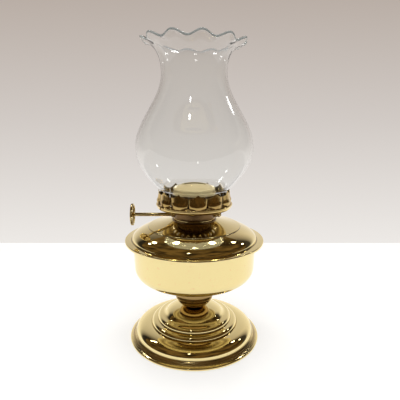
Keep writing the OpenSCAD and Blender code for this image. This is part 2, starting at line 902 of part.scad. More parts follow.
// Outer face of the glass from the fitter up to where the crimps start
glass_path = concat(
    [[fitter_r, seat_z], [fitter_r, fitter_top_z]],
    [
        for (i = [1:glass_steps])
            let (s = 1 - i / glass_steps)
            [bulb_r - (bulb_r - fitter_r) * s * s, bulb_z - bulb_h * s]
    ],
    [
        for (i = [1:glass_steps])
            let (s = i / glass_steps)
            [waist_r + (bulb_r - waist_r) * (1 + cos(180 * s)) / 2, bulb_z + waist_h * s]
    ],
    [for (i = [1:flare_steps]) flare_point(crimp_from * i / flare_steps)]
);

// Outer and inner edge of the level face where the plain glass ends and the crimps start
crimp_start = flare_point(crimp_from);
crimp_slope = crimp_start - flare_point(crimp_from * (1 - 1 / flare_steps));
crimp_start_inner = crimp_start - [glass_wall * norm(crimp_slope) / crimp_slope[1], 0];
// Way down along the plain glass from that face to the rim's root
rim_root = -crimp_slope * rim_root_h / crimp_slope[1];

// Cross-section of the rim before it is crimped: up the outer face, over the lip, down inside
rim_outer = [
    for (i = [0:rim_rings])
        flare_point(crimp_from + (1 - crimp_from) * i / rim_rings)
];
rim_inner = beside(rim_outer, glass_wall);
rim_outline = concat(
    [crimp_start + rim_root - [rim_inset, 0]],
    [for (i = [1:rim_rings]) rim_outer[i]],
    [(rim_outer[rim_rings] + rim_inner[rim_rings]) / 2 + [lip_swell, 0]],
    [for (i = [rim_rings:-1:1]) rim_inner[i]],
    [crimp_start_inner + rim_root + [rim_inset, 0]]
);

// A point of the rim's outline moved by the crimps and the lean at turn a
function crimped(p, share, a) =
    let (
        wave = cos(crimp_count * (a - crimp_turn)) * pow(share, crimp_deepen),
        r = p[0] + crimp_r * wave
    )
    [r * cos(a), r * sin(a), p[1] + crimp_z * wave - rim_lean * share * cos(a)];

module glass_chimney() {
    inner = beside(glass_path, glass_wall);
    n = len(rim_outline);
    // Share of the crimp at each point of the outline: none at the base, all at the lip
    share = [for (j = [0:n - 1]) 1 - abs(2 * j - (n - 1)) / (n - 1)];
    color(glass)
        union() {
            rotate_extrude()
                polygon(concat(
                    glass_path,
                    [crimp_start_inner],
                    backwards([for (i = [0:len(inner) - 2]) inner[i]])
                ));
            polyhedron(
                points = [
                    for (i = [0:rim_sides - 1], j = [0:n - 1])
                        crimped(rim_outline[j], share[j], crimp_turn + 360 * i / rim_sides)
                ],
                faces = [
                    for (i = [0:rim_sides - 1], j = [0:n - 1], half = [0, 1])
                        let (
                            k = (i + 1) % rim_sides,
                            m = (j + 1) % n,
                            a = i * n + j,
                            b = i * n + m,
                            c = k * n + m,
                            d = k * n + j
                        )
                        half == 0 ? [a, b, c] : [a, c, d]
                ]
            );
        }
}

foot();
foot_washer();
foot_nut();
tie_rod();
stem_cup();
font_boss();
font_bowl();
font_cover();
font_collar();
screw_ring();
burner_drum();
shaft_bushes();
wick_tube();
air_plate();
gallery_pan();
gallery_coronet();
flame_deflector();
raiser_shaft();
spur_wheels();
shaft_stop();
thumbwheel();
thumbwheel_hub();
wick();
glass_chimney();
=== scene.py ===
import math

import bmesh
import bpy
from mathutils import Matrix, Vector


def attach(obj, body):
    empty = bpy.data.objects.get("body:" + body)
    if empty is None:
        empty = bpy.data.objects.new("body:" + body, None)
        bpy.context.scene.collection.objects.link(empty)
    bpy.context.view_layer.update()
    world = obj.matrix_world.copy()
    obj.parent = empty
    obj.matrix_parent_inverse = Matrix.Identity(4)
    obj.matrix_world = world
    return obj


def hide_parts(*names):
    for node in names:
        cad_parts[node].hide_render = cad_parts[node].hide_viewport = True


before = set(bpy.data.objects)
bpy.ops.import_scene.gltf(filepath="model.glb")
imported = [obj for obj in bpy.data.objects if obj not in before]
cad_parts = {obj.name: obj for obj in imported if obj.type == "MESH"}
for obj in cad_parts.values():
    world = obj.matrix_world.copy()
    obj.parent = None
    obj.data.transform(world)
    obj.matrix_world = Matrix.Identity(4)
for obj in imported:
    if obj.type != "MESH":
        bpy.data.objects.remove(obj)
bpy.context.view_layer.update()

# Foot: one sheet of brass spun over a chuck into a flange, a full lower dome, two round-edged steps
# and an upper dome, with its rim rolled into a bead. Polished, with painted shade darkening its
# corners and the flange.
MM = 0.001
FULL_TURN = 2 * math.pi
SPIN_STEPS = 192


def arc(r, z, radius, start, end, steps=12):
    """Points of an arc about (r, z), with its angles in degrees from straight out."""
    angles = [math.radians(start + (end - start) * i / steps) for i in range(steps + 1)]
    return [(r + radius * math.cos(a), z + radius * math.sin(a)) for a in angles]


def swell(r, z, width, rise, fullness=2.0, steps=28):
    """Points of a dome that leaves (r, z) upright and ends level: an ellipse at fullness 2."""
    angles = [math.pi / 2 * i / steps for i in range(steps)]
    power = 2 / fullness
    points = [
        (r - width * (1 - math.cos(a) ** power), z + rise * math.sin(a) ** power) for a in angles
    ]
    return points + [(r - width, z + rise)]


def shown(name, bm, smooth_below=32):
    """A finished mesh as an object, smooth except over edges sharper than the given angle."""
    mesh = bpy.data.meshes.new(name)
    bm.to_mesh(mesh)
    bm.free()
    mesh.shade_smooth()
    mesh.set_sharp_from_angle(angle=math.radians(smooth_below))
    piece = bpy.data.objects.new(name, mesh)
    bpy.context.scene.collection.objects.link(piece)
    return piece


def spin_path(bm, path, closed=False, steps=SPIN_STEPS):
    """Spins (radius, height) points in millimetres about the lamp's axis."""
    verts = [bm.verts.new((r * MM, 0, z * MM)) for r, z in path]
    edges = [bm.edges.new(pair) for pair in zip(verts, verts[1:])]
    if closed:
        edges.append(bm.edges.new((verts[-1], verts[0])))
    bmesh.ops.spin(
        bm, geom=verts + edges, cent=(0, 0, 0), axis=(0, 0, 1),
        angle=FULL_TURN, steps=steps, use_merge=True,
    )


def sealed(bm):
    """Merges seams and poles, and turns the faces outwards."""
    bmesh.ops.remove_doubles(bm, verts=bm.verts[:], dist=2e-6)
    bmesh.ops.recalc_face_normals(bm, faces=bm.faces[:])
    return bm


def spun_mesh(path, closed=False, steps=SPIN_STEPS):
    """A mesh spun about the lamp's axis."""
    bm = bmesh.new()
    spin_path(bm, path, closed, steps)
    return sealed(bm)


def sheet_walls(piece, wall, edge=0.12):
    """Gives a spun sheet its thickness behind the modelled face, and breaks its sharp edges."""
    walls = piece.modifiers.new("wall", "SOLIDIFY")
    walls.thickness = wall * MM
    walls.offset = -1
    walls.use_even_offset = True
    edges = piece.modifiers.new("edges", "BEVEL")
    edges.width = edge * MM
    edges.segments = 2
    edges.limit_method = "ANGLE"
    edges.angle_limit = math.radians(40)


def node_maker(tree):
    """Adds a node to the tree with its inputs set by number or by link."""

    def add(kind, inputs=None, **settings):
        node = tree.nodes.new(kind)
        for key, value in settings.items():
            setattr(node, key, value)
        for key, value in (inputs or {}).items():
            if isinstance(value, bpy.types.NodeSocket):
                tree.links.new(value, node.inputs[key])
            else:
                node.inputs[key].default_value = value
        return node

    return add


def bare_finish(name):
    """An empty node material, its tree, and the function that adds nodes to it."""
    finish = bpy.data.materials.new(name)
    finish.use_nodes = True
    tree = finish.node_tree
    tree.nodes.clear()
    return finish, tree, node_maker(tree)


def new_finish(name):
    """A bare finish with its Principled shader in place."""
    finish, tree, add = bare_finish(name)
    shader = add("ShaderNodeBsdfPrincipled")
    add("ShaderNodeOutputMaterial", {"Surface": shader.outputs["BSDF"]})
    return finish, tree, shader, add


def brass_finish(name, bright, dull, stain_and_shade_colour, gloss, haze, shaded_corners=(), mottle=0.25, metal=1.0):
    """Brass with turning lines, a drifting tone, small stains, and painted shade darkening listed
    corners.
    """
    line_scale, drift_scale, speck_scale = 1500.0, 26.0, 330.0
    speck_weight, corner_shade_weight, stain_and_shade_haze = 0.2, 0.85, 0.35
    line_depth, line_strength = 0.02 * MM, 0.06
    finish, tree, shader, add = new_finish(name)
    place = add("ShaderNodeTexCoord").outputs["Object"]
    split = add("ShaderNodeSeparateXYZ", {"Vector": place})
    flat = add("ShaderNodeCombineXYZ", {"X": split.outputs["X"], "Y": split.outputs["Y"]})
    out = add(
        "ShaderNodeVectorMath", {0: flat.outputs["Vector"]}, operation="LENGTH"
    ).outputs["Value"]
    profile = add("ShaderNodeCombineXYZ", {"X": out, "Y": split.outputs["Z"]}).outputs["Vector"]
    lines = add("ShaderNodeTexNoise", {"Vector": profile, "Scale": line_scale, "Detail": 3.0})
    drift = add(
        "ShaderNodeTexNoise",
        {"Vector": place, "Scale": drift_scale, "Detail": 4.0, "Roughness": 0.55},
    )
    specks = add(
        "ShaderNodeTexNoise",
        {"Vector": place, "Scale": speck_scale, "Detail": 5.0, "Roughness": 0.65},
    )
    tone = add(
        "ShaderNodeMapRange",
        {"Value": drift.outputs["Fac"], "From Min": 0.38, "From Max": 0.72, "To Max": mottle},
    )
    worn = add(
        "ShaderNodeMapRange", {"Value": specks.outputs["Fac"], "From Min": 0.62, "From Max": 0.74}
    )
    stain_and_shade = add(
        "ShaderNodeMath", {0: worn.outputs["Result"], 1: speck_weight}, operation="MULTIPLY"
    ).outputs["Value"]
    # Painted shade: darkens the brass near each listed corner of the profile, where shade falls.
    for r, z, reach in shaded_corners:
        gap = add(
            "ShaderNodeVectorMath", {0: profile, 1: (r * MM, z * MM, 0)}, operation="DISTANCE"
        ).outputs["Value"]
        ragged = add(
            "ShaderNodeMath", {0: specks.outputs["Fac"], 1: 0.5 * reach * MM}, operation="MULTIPLY"
        ).outputs["Value"]
        ragged_gap = add("ShaderNodeMath", {0: gap, 1: ragged}, operation="ADD").outputs["Value"]
        near = add(
            "ShaderNodeMapRange",
            {
                "Value": ragged_gap, "From Min": 0.3 * reach * MM, "From Max": reach * MM,
                "To Min": corner_shade_weight, "To Max": 0.0,
            },
        ).outputs["Result"]
        stain_and_shade = add("ShaderNodeMath", {0: stain_and_shade, 1: near}, operation="MAXIMUM").outputs["Value"]
    tint = add(
        "ShaderNodeMixRGB", {"Fac": tone.outputs["Result"], "Color1": bright, "Color2": dull}
    )
    colour = add(
        "ShaderNodeMixRGB", {"Fac": stain_and_shade, "Color1": tint.outputs["Color"], "Color2": stain_and_shade_colour}
    )
    lustre = add(
        "ShaderNodeMapRange",
        {
            "Value": specks.outputs["Fac"], "From Min": 0.3, "From Max": 0.75,
            "To Min": gloss, "To Max": haze,
        },
    ).outputs["Result"]
    dulled = add("ShaderNodeMath", {0: stain_and_shade, 1: stain_and_shade_haze, 2: lustre}, operation="MULTIPLY_ADD")
    bump = add(
        "ShaderNodeBump",
        {"Strength": line_strength, "Distance": line_depth, "Height": lines.outputs["Fac"]},
    )
    shader.inputs["Metallic"].default_value = metal
    tree.links.new(colour.outputs["Color"], shader.inputs["Base Color"])
    tree.links.new(dulled.outputs["Value"], shader.inputs["Roughness"])
    tree.links.new(bump.outputs["Normal"], shader.inputs["Normal"])
    return finish


BRIGHT_BRASS = (0.91, 0.77, 0.39, 1)
DULL_BRASS = (0.84, 0.68, 0.32, 1)
# Painted shade darkens the flange and the creases of the steps.
foot_brass = brass_finish(
    "foot_brass", BRIGHT_BRASS, DULL_BRASS, (0.32, 0.21, 0.08, 1), gloss=0.03, haze=0.07,
    shaded_corners=[(60.6, 4.2, 4.6), (58.4, 5.8, 1.0), (42.7, 14.6, 0.9), (36.5, 19.1, 0.9)],
)

FOOT_TOP, FOOT_WALL, ROD_HOLE_R = 30.6, 0.9, 3.2
rolled_rim = [(r, max(z, 0)) for r, z in arc(63.0, 1.1, radius=1.3, start=165, end=450, steps=28)]
flange = [(61.2, 3.5), (58.9, 5.45), (58.5, 5.75)]
lower_dome = swell(58.3, 6.0, width=15.6, rise=8.6, fullness=2.5)
lower_step = arc(39.2, 15.0, radius=3.5, start=0, end=90) + [(36.7, 18.85), (36.5, 19.1)]
upper_step = arc(33.2, 19.7, radius=3.3, start=0, end=90)
cove = [(31.6, 23.08), (30.3, 23.35), (29.2, 23.92), (28.25, 24.78)]
upper_dome = swell(28.8, 23.4, width=19.8, rise=7.2)
above_cove = upper_dome[8:]
foot_path = rolled_rim + flange + lower_dome + lower_step + upper_step + cove + above_cove
foot = shown("foot_spun", spun_mesh(foot_path + [(ROD_HOLE_R, FOOT_TOP)]))
sheet_walls(foot, FOOT_WALL)
foot.data.materials.append(foot_brass)
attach(foot, "lamp_base")
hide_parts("foot")

# Washer, nut and tie rod: zinc-plated steel stock parts under the foot, which clamp foot, cup and
# font together. Bright zinc with a faint blue-grey mottle.
zinc_steel, tree, shader, add = new_finish("zinc_steel")
place = add("ShaderNodeTexCoord").outputs["Object"]
mottle = add("ShaderNodeTexNoise", {"Vector": place, "Scale": 420.0, "Detail": 4.0})
zinc_tone = add("ShaderNodeValToRGB", {"Fac": mottle.outputs["Fac"]})
zinc_tone.color_ramp.elements[0].color = (0.42, 0.43, 0.44, 1)
zinc_tone.color_ramp.elements[1].color = (0.70, 0.70, 0.67, 1)
zinc_gloss = add(
    "ShaderNodeMapRange", {"Value": mottle.outputs["Fac"], "To Min": 0.22, "To Max": 0.42}
)
shader.inputs["Metallic"].default_value = 1.0
tree.links.new(zinc_tone.outputs["Color"], shader.inputs["Base Color"])
tree.links.new(zinc_gloss.outputs["Result"], shader.inputs["Roughness"])


def dress(node, finish):
    """Gives a CAD node its finish."""
    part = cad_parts[node]
    part.data.materials.clear()
    part.data.materials.append(finish)


for node in ("foot_washer", "foot_nut", "tie_rod"):
    dress(node, zinc_steel)

# Stem cup: drawn brass cup that stands on the foot and carries the font on its rim. It is round
# underneath. Its brass is duller than the foot's, and its dark brown colour is painted shade under
# the font, with more painted shade where it meets the foot.
stem_shaded_brass = brass_finish(
    "stem_shaded_brass", (0.37, 0.25, 0.10, 1), (0.22, 0.14, 0.055, 1), (0.10, 0.06, 0.02, 1), gloss=0.08,
    haze=0.18, shaded_corners=[(6, FOOT_TOP, 2.0)],
)
CUP_FOOT_R, CUP_FLARE, CUP_R, CUP_UNDER_H, CUP_WALL = 5, 14.8, 19.8, 18, 1.0
FONT_FLOOR = 55.6
cup_under = [
    (CUP_FOOT_R + CUP_FLARE * math.sin(a), FOOT_TOP + CUP_UNDER_H * (1 - math.cos(a)))
    for a in [math.radians(degrees) for degrees in range(0, 91, 3)]
]
cup_path = [(ROD_HOLE_R, FOOT_TOP)] + cup_under + [(CUP_R, FONT_FLOOR)]
stem_cup = shown("stem_cup_drawn", spun_mesh(cup_path))
sheet_walls(stem_cup, CUP_WALL)
stem_cup.data.materials.append(stem_shaded_brass)
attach(stem_cup, "lamp_base")
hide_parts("stem_cup")

# Font bowl: lower half of the oil font, spun from thin brass sheet, with a flange to join it by.
# Bright outside and darkened underneath with painted shade, where the boss for the tie rod is
# soldered on inside the cup.
# Painted shade darkens the bowl's underside over the cup and the corners at the flanges, the fine
# step and the neck.
font_brass = brass_finish(
    "font_brass", BRIGHT_BRASS, DULL_BRASS, (0.10, 0.06, 0.02, 1), gloss=0.04, haze=0.09,
    shaded_corners=[
        (60.1, 102.2, 0.9), (44.2, 114.2, 0.8), (21.0, 120.4, 0.9), (58.4, 100.2, 1.0),
        (28.0, 58.0, 26.0), (42.0, 62.0, 20.0),
    ],
)
FONT_WALL = 0.8
bowl_flange = [(65.5, 100.57)] + arc(59.0, 99.77, radius=0.8, start=90, end=180, steps=6)
bowl_round = arc(44.9, 75.57, radius=12.5, start=0, end=-74, steps=18)
bowl_floor = [(21.0, 55.72), (20.2, FONT_FLOOR), (0, FONT_FLOOR)]
font_bowl = shown("font_bowl_spun", spun_mesh(bowl_flange + bowl_round + bowl_floor))
sheet_walls(font_bowl, FONT_WALL)
font_bowl.data.materials.append(font_brass)
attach(font_bowl, "lamp_base")
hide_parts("font_bowl")
dress("font_boss", stem_shaded_brass)

# Font cover: upper half of the font, spun from the same brass sheet, with a full shoulder, a fine
# step and a shallow slope up to the neck. Its edge is hemmed round the bowl's flange.


def shoulder(r, z, width, rise, steps=24):
    """Points of a parabola that leaves (r, z) upright and bends inwards as it climbs."""
    shares = [i / steps for i in range(steps + 1)]
    return [(r - width * s * s, z + rise * s) for s in shares]


SLOPE_R, SLOPE_Z, SLOPE_W, SLOPE_RISE, SLOPE_HOLLOW = 43.5, 114.67, 22.5, 5.7, 0.15
NECK_Z = 120.37
hem = [(66.5, 100.27)] + arc(65.8, 101.47, radius=0.7, start=0, end=90, steps=6)
hem_fillet = [(60.6, 102.17), (60.0, 102.3)]
cover_shoulder = shoulder(59.8, 102.57, width=15.4, rise=11.2)
fine_step = [(44.2, 114.3), (43.9, 114.55)]
neck_slope = [
    (SLOPE_R - SLOPE_W * s, SLOPE_Z + SLOPE_RISE * ((1 - SLOPE_HOLLOW) * s + SLOPE_HOLLOW * s * s))
    for s in [i / 16 for i in range(17)]
]
cover_path = hem + hem_fillet + cover_shoulder + fine_step + neck_slope + [(17.6, NECK_Z)]
font_cover = shown("font_cover_spun", spun_mesh(cover_path))
sheet_walls(font_cover, FONT_WALL)
font_cover.data.materials.append(font_brass)
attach(font_cover, "lamp_base")
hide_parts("font_cover")

# Collar: turned brass ring soldered into the font's neck, and threaded inside for the burner.
# Coloured dark brown, the same as the burner's drum.
neck_brass = brass_finish(
    "neck_brass", (0.19, 0.115, 0.05, 1), (0.11, 0.065, 0.028, 1), (0.07, 0.04, 0.02, 1),
    gloss=0.12, haze=0.26, mottle=0.9,
)
COLLAR_R, COLLAR_BORE_R, COLLAR_SLEEVE_R = 20.9, 15.9, 17.5
COLLAR_FOOT, COLLAR_TOP, COLLAR_EDGE = 112.37, 121.57, 0.3
collar_path = [
    (COLLAR_R - COLLAR_EDGE, NECK_Z), (COLLAR_R, NECK_Z + COLLAR_EDGE),
    (COLLAR_R, COLLAR_TOP - COLLAR_EDGE), (COLLAR_R - COLLAR_EDGE, COLLAR_TOP),
    (COLLAR_BORE_R + COLLAR_EDGE, COLLAR_TOP), (COLLAR_BORE_R, COLLAR_TOP - COLLAR_EDGE),
    (COLLAR_BORE_R, COLLAR_FOOT), (COLLAR_SLEEVE_R, COLLAR_FOOT), (COLLAR_SLEEVE_R, NECK_Z),
]
font_collar = shown("font_collar_turned", spun_mesh(collar_path, closed=True))
font_collar.data.materials.append(neck_brass)
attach(font_collar, "lamp_base")
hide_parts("font_collar")

# Screw ring: thin brass ring of the burner, its skirt rolled into a coarse thread that turns in the
# collar, under a narrow shoulder. Duller and browner than the font.
BURNER_BRIGHT = (0.84, 0.67, 0.31, 1)
BURNER_DULL = (0.66, 0.48, 0.19, 1)
burner_brass = brass_finish(
    "burner_brass", BURNER_BRIGHT, BURNER_DULL, (0.16, 0.10, 0.04, 1), gloss=0.08, haze=0.2,
    mottle=0.8,
)
SKIRT_R, SKIRT_BORE_R, SKIRT_FOOT, SKIRT_H, SKIRT_ROWS = 15.5, 14.5, 113.57, 8.0, 80
THREAD_PITCH, THREAD_DEPTH, THREAD_TOP = 1.8, 0.19, 121.4
RING_TOP = 122.37
skirt_bore = [(SKIRT_BORE_R, RING_TOP), (SKIRT_BORE_R, SKIRT_FOOT)]
skirt = [(SKIRT_R, SKIRT_FOOT + SKIRT_H * i / SKIRT_ROWS) for i in range(SKIRT_ROWS + 1)]
ring_shoulder = [(19.6, 121.58), (19.9, 121.8), (19.9, 122.15), (19.6, RING_TOP)]
bm = spun_mesh(skirt_bore + skirt + ring_shoulder, closed=True, steps=96)
for vert in bm.verts:
    x, y, z = vert.co / MM
    r = math.hypot(x, y)
    if abs(r - SKIRT_R) < 0.05 and z < THREAD_TOP:
        turn = FULL_TURN * z / THREAD_PITCH - math.atan2(y, x)
        vert.co.xy *= (SKIRT_R + THREAD_DEPTH * math.cos(turn)) / r
screw_ring = shown("screw_ring_rolled", bm)
screw_ring.data.materials.append(burner_brass)
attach(screw_ring, "screw_ring")
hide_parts("screw_ring")

# Burner drum: drawn brass drum with a ring of air holes high in its wall. The wick tube and the
# perforated air plate are soldered inside it.
CELL_SIDES = 8


def pierced_ring(bm, count, hole, place):
    """A ring of sheet with round holes; place turns a cell's across and along into a point."""
    circle = bmesh.ops.create_circle(bm, segments=4 * CELL_SIDES, radius=hole)["verts"]
    edges = list({edge for vert in circle for edge in vert.link_edges})
    grown = bmesh.ops.extrude_edge_only(bm, edges=edges)["geom"]
    rim = [part for part in grown if isinstance(part, bmesh.types.BMVert)]
    for vert in rim:
        across, along = vert.co.x / hole, vert.co.y / hole
        share = math.atan2(along, across) / (FULL_TURN / 8)
        side = round(share / 2)
        step = share - 2 * side
        square = Vector((1, step, 0))
        vert.co = Matrix.Rotation(side * FULL_TURN / 4, 3, "Z") @ square
    for vert in circle + rim:
        vert.co = place(vert.co.x, vert.co.y)
    sheet = [part for part in grown if not isinstance(part, bmesh.types.BMVert)]
    bmesh.ops.spin(
        bm, geom=circle + rim + sheet + edges, cent=(0, 0, 0), axis=(0, 0, 1),
        angle=FULL_TURN * (count - 1) / count, steps=count - 1, use_duplicate=True,
    )


def around(r, degrees, z):
    """A point at a radius and a turn about the lamp's axis, in millimetres."""
    turn = math.radians(degrees)
    return Vector((r * math.cos(turn), r * math.sin(turn), z)) * MM


DRUM_R, DRUM_ROUND, DRUM_WALL = 20.0, 0.6, 0.7
DRUM_FLOOR, DRUM_FLOOR_R, DRUM_TOP = 122.371, 11, 145.971
AIR_HOLES, AIR_HOLE_R, AIR_HOLE_Z = 20, 1.2, 138.571
air_half = 180 / AIR_HOLES
air_cell = math.pi * DRUM_R / AIR_HOLES
drum_steps = AIR_HOLES * CELL_SIDES
drum_corner = arc(
    DRUM_R - DRUM_ROUND, DRUM_FLOOR + DRUM_ROUND, DRUM_ROUND, start=-90, end=0, steps=6
)
below_holes = [(DRUM_FLOOR_R, DRUM_FLOOR)] + drum_corner + [(DRUM_R, AIR_HOLE_Z - air_cell)]
above_holes = [(DRUM_R, AIR_HOLE_Z + air_cell), (DRUM_R, DRUM_TOP)]


def air_cell_point(across, along):
    """A point of the first pierced cell of the drum's wall."""
    return around(DRUM_R, air_half + air_half * across, AIR_HOLE_Z + air_cell * along)


bm = bmesh.new()
spin_path(bm, below_holes, steps=drum_steps)
pierced_ring(bm, AIR_HOLES, AIR_HOLE_R / air_cell, air_cell_point)
spin_path(bm, above_holes, steps=drum_steps)
burner_drum = shown("burner_drum_drawn", sealed(bm))
sheet_walls(burner_drum, DRUM_WALL, edge=0.08)
burner_drum.data.materials.append(neck_brass)
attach(burner_drum, "burner")
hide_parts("burner_drum")
for node in ("wick_tube", "air_plate"):
    dress(node, neck_brass)

# Shaft bushes: two short turned brass sleeves, soldered through the drum's wall on either side.
# The raiser's shaft runs in them, a little in front of the lamp's axis.
SHAFT_Y, SHAFT_Z, SHAFT_R, SHAFT_BORE_R = -5.6, 126.071, 1.7, 1.75
SHAFT_PLACE = Matrix.Translation((0, SHAFT_Y * MM, SHAFT_Z * MM))
RAISER = SHAFT_PLACE @ Matrix.Rotation(FULL_TURN / 4, 4, "Y")


def turned_on_raiser(name, path, finish, body, closed=True, steps=64):
    """A piece turned about the raiser's axis, from (radius, place along the shaft) points."""
    bm = spun_mesh(path, closed, steps)
    bmesh.ops.transform(bm, matrix=RAISER, verts=bm.verts)
    piece = shown(name, bm)
    piece.data.materials.append(finish)
    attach(piece, body)
    return piece


BUSH_R, BUSH_INNER, BUSH_OUTER = 2.6, 17.5, 21.6
bush_path = [
    (SHAFT_BORE_R, BUSH_INNER), (BUSH_R, BUSH_INNER), (BUSH_R, 20.9), (2.5, 21.3),
    (2.25, BUSH_OUTER), (1.95, BUSH_OUTER), (SHAFT_BORE_R, 21.4),
]
bush_right = turned_on_raiser("shaft_bush_right", bush_path, burner_brass, "burner")
bush_left = turned_on_raiser(
    "shaft_bush_left", [(r, -x) for r, x in bush_path], burner_brass, "burner"
)
for bush in (bush_right, bush_left):
    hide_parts("shaft_bushes")

# Gallery pan: spun brass pan soldered to the drum, its floor pierced for the draught, with the seat
# for the glass and a rolled bead. Its floor is darkened with painted shade.
pan_brass = brass_finish(
    "pan_brass", BURNER_BRIGHT, BURNER_DULL, (0.07, 0.04, 0.02, 1), gloss=0.08, haze=0.2,
    shaded_corners=[(21.5, 131.0, 6.0), (27.0, 131.4, 7.0), (32.0, 132.4, 5.0)], mottle=0.8,
)
PAN_HOLES, PAN_HOLE_R, PAN_HOLES_AT, PAN_WALL = 24, 1.4, 24.15, 0.6
PAN_FLOOR_R, PAN_FLOOR_Z, PAN_FLOOR_RUN = 20.75, 130.771, 6.8
pan_cell = math.pi * PAN_HOLES_AT / PAN_HOLES


def pan_floor(r):
    """The point of the pan's floor at a radius; outwards it climbs 1 mm in each run."""
    return r, PAN_FLOOR_Z + (r - PAN_FLOOR_R) / PAN_FLOOR_RUN


def pan_cell_point(across, along):
    """A point of the first pierced cell of the pan's floor."""
    r, z = pan_floor(PAN_HOLES_AT + pan_cell * along)
    return around(r, 180 / PAN_HOLES * across, z)


pan_sleeve = [(20.05, 134.27), (20.05, 131.1), (20.2, 130.85), (20.4, PAN_FLOOR_Z)]
pan_corner = arc(32.65, 134.971, radius=3.2, start=-90, end=-8, steps=14)
pan_bead = arc(35.5, 135.771, radius=0.8, start=-50, end=190, steps=18)
bm = bmesh.new()
spin_path(bm, pan_sleeve + [(PAN_FLOOR_R, PAN_FLOOR_Z), pan_floor(PAN_HOLES_AT - pan_cell)])
pierced_ring(bm, PAN_HOLES, PAN_HOLE_R / pan_cell, pan_cell_point)
spin_path(bm, [pan_floor(PAN_HOLES_AT + pan_cell), (27.55, 131.771)] + pan_corner + pan_bead)
gallery_pan = shown("gallery_pan_spun", sealed(bm))
sheet_walls(gallery_pan, PAN_WALL, edge=0.08)
gallery_pan.data.materials.append(pan_brass)
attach(gallery_pan, "burner")
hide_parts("gallery_pan")

# Coronet: springy petals pressed from one brass strip, each hollow towards the glass, parted by
# slits that end in a round hole. It is soldered inside the pan's bead and grips the glass.
# Painted shade and painted reflection: the coronet's brass is coloured darker than the burner's,
# standing in for the shade and dark reflections between the pan and the glass.
coronet_shaded_brass = brass_finish(
    "coronet_shaded_brass", (0.58, 0.42, 0.16, 1), (0.36, 0.23, 0.08, 1), (0.10, 0.06, 0.02, 1),
    gloss=0.12, haze=0.28, mottle=1.0,
)
PETALS = 12
PETAL_HALF = 180 / PETALS
PETAL_TURN = -84
BAND_R, PETAL_MID_R, PETAL_EDGE_R = 35.1, 34.95, 32.75
PETAL_FOOT_Z, SLIT_HOLE_Z, SCALLOP_Z = 134.971, 138.571, 146.571
SLIT_HOLE_R, SLIT_HALF, SCALLOP_DEPTH, PETAL_WALL = 0.9, 0.4, 3.4, 0.6
LEVEL_Z, LEVEL_SHARE = 142, 0.7
HOLLOW_FROM, HOLLOW_RUN = 0.8, 2.2
PETAL_BELLY, BELLY_Z, BELLY_HALF, PETAL_LEAN = 0.7, 139.4, 3.6, 1.3
petal_cos = math.cos(math.radians(PETAL_HALF))
petal_at = (PETAL_MID_R**2 - PETAL_EDGE_R**2) / (2 * (PETAL_MID_R - PETAL_EDGE_R * petal_cos))
petal_r = PETAL_MID_R - petal_at
scallop_half = PETAL_EDGE_R * math.sin(math.radians(PETAL_HALF))
scallop_r = (scallop_half**2 + SCALLOP_DEPTH**2) / (2 * SCALLOP_DEPTH)


def eased(share):
    """A share from 0 to 1 that starts and stops softly."""
    share = min(max(share, 0), 1)
    return share * share * (3 - 2 * share)


def petal_point(across, up):
    """A point of the first petal: across from -1 to 1, up from 0 at the foot to 1 at its edge."""
    reach = scallop_half * (1 - abs(across))
    edge_z = SCALLOP_Z + scallop_r - math.sqrt(scallop_r**2 - reach**2)
    if up < LEVEL_SHARE:
        z = PETAL_FOOT_Z + (LEVEL_Z - PETAL_FOOT_Z) * up / LEVEL_SHARE
    else:
        z = LEVEL_Z + (edge_z - LEVEL_Z) * (up - LEVEL_SHARE) / (1 - LEVEL_SHARE)
    cut = 0
    if z > SLIT_HOLE_Z - SLIT_HOLE_R:
        cut = math.sqrt(max(SLIT_HOLE_R**2 - (z - SLIT_HOLE_Z) ** 2, 0))
    if z > SLIT_HOLE_Z:
        cut = max(cut, SLIT_HALF)
    turn = across * (PETAL_HALF - math.degrees(cut / PETAL_EDGE_R))
    sine = petal_at * math.sin(math.radians(turn))
    bulged = petal_at * math.cos(math.radians(turn)) + math.sqrt(petal_r**2 - sine**2)
    share = eased((z - PETAL_FOOT_Z - HOLLOW_FROM) / HOLLOW_RUN)
    middle = 1 - across * across
    belly = PETAL_BELLY * middle * max(1 - ((z - BELLY_Z) / BELLY_HALF) ** 2, 0) ** 2
    lean = PETAL_LEAN * middle * eased((z - BELLY_Z) / (SCALLOP_Z + SCALLOP_DEPTH - BELLY_Z))
    return around(BAND_R + (bulged - BAND_R) * share + belly - lean, PETAL_TURN + turn, z)


bm = bmesh.new()
petal = bmesh.ops.create_grid(bm, x_segments=24, y_segments=64, size=1)["verts"]
for vert in petal:
    vert.co = petal_point(vert.co.x, (vert.co.y + 1) / 2)
bmesh.ops.spin(
    bm, geom=bm.verts[:] + bm.edges[:] + bm.faces[:], cent=(0, 0, 0), axis=(0, 0, 1),
    angle=FULL_TURN * (PETALS - 1) / PETALS, steps=PETALS - 1, use_duplicate=True,
)
coronet = shown("gallery_coronet_pressed", sealed(bm), smooth_below=50)
sheet_walls(coronet, PETAL_WALL, edge=0.1)
coronet.data.materials.append(coronet_shaded_brass)
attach(coronet, "burner")
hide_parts("gallery_coronet")

# Flame deflector: spun brass cap pressed into the drum, with a bead round its foot and a low dome
# on top, which is pierced by the flame slot. Its brass is satin, not mirror-bright.
STAIN_AND_SHADE = (0.30, 0.20, 0.08, 1)
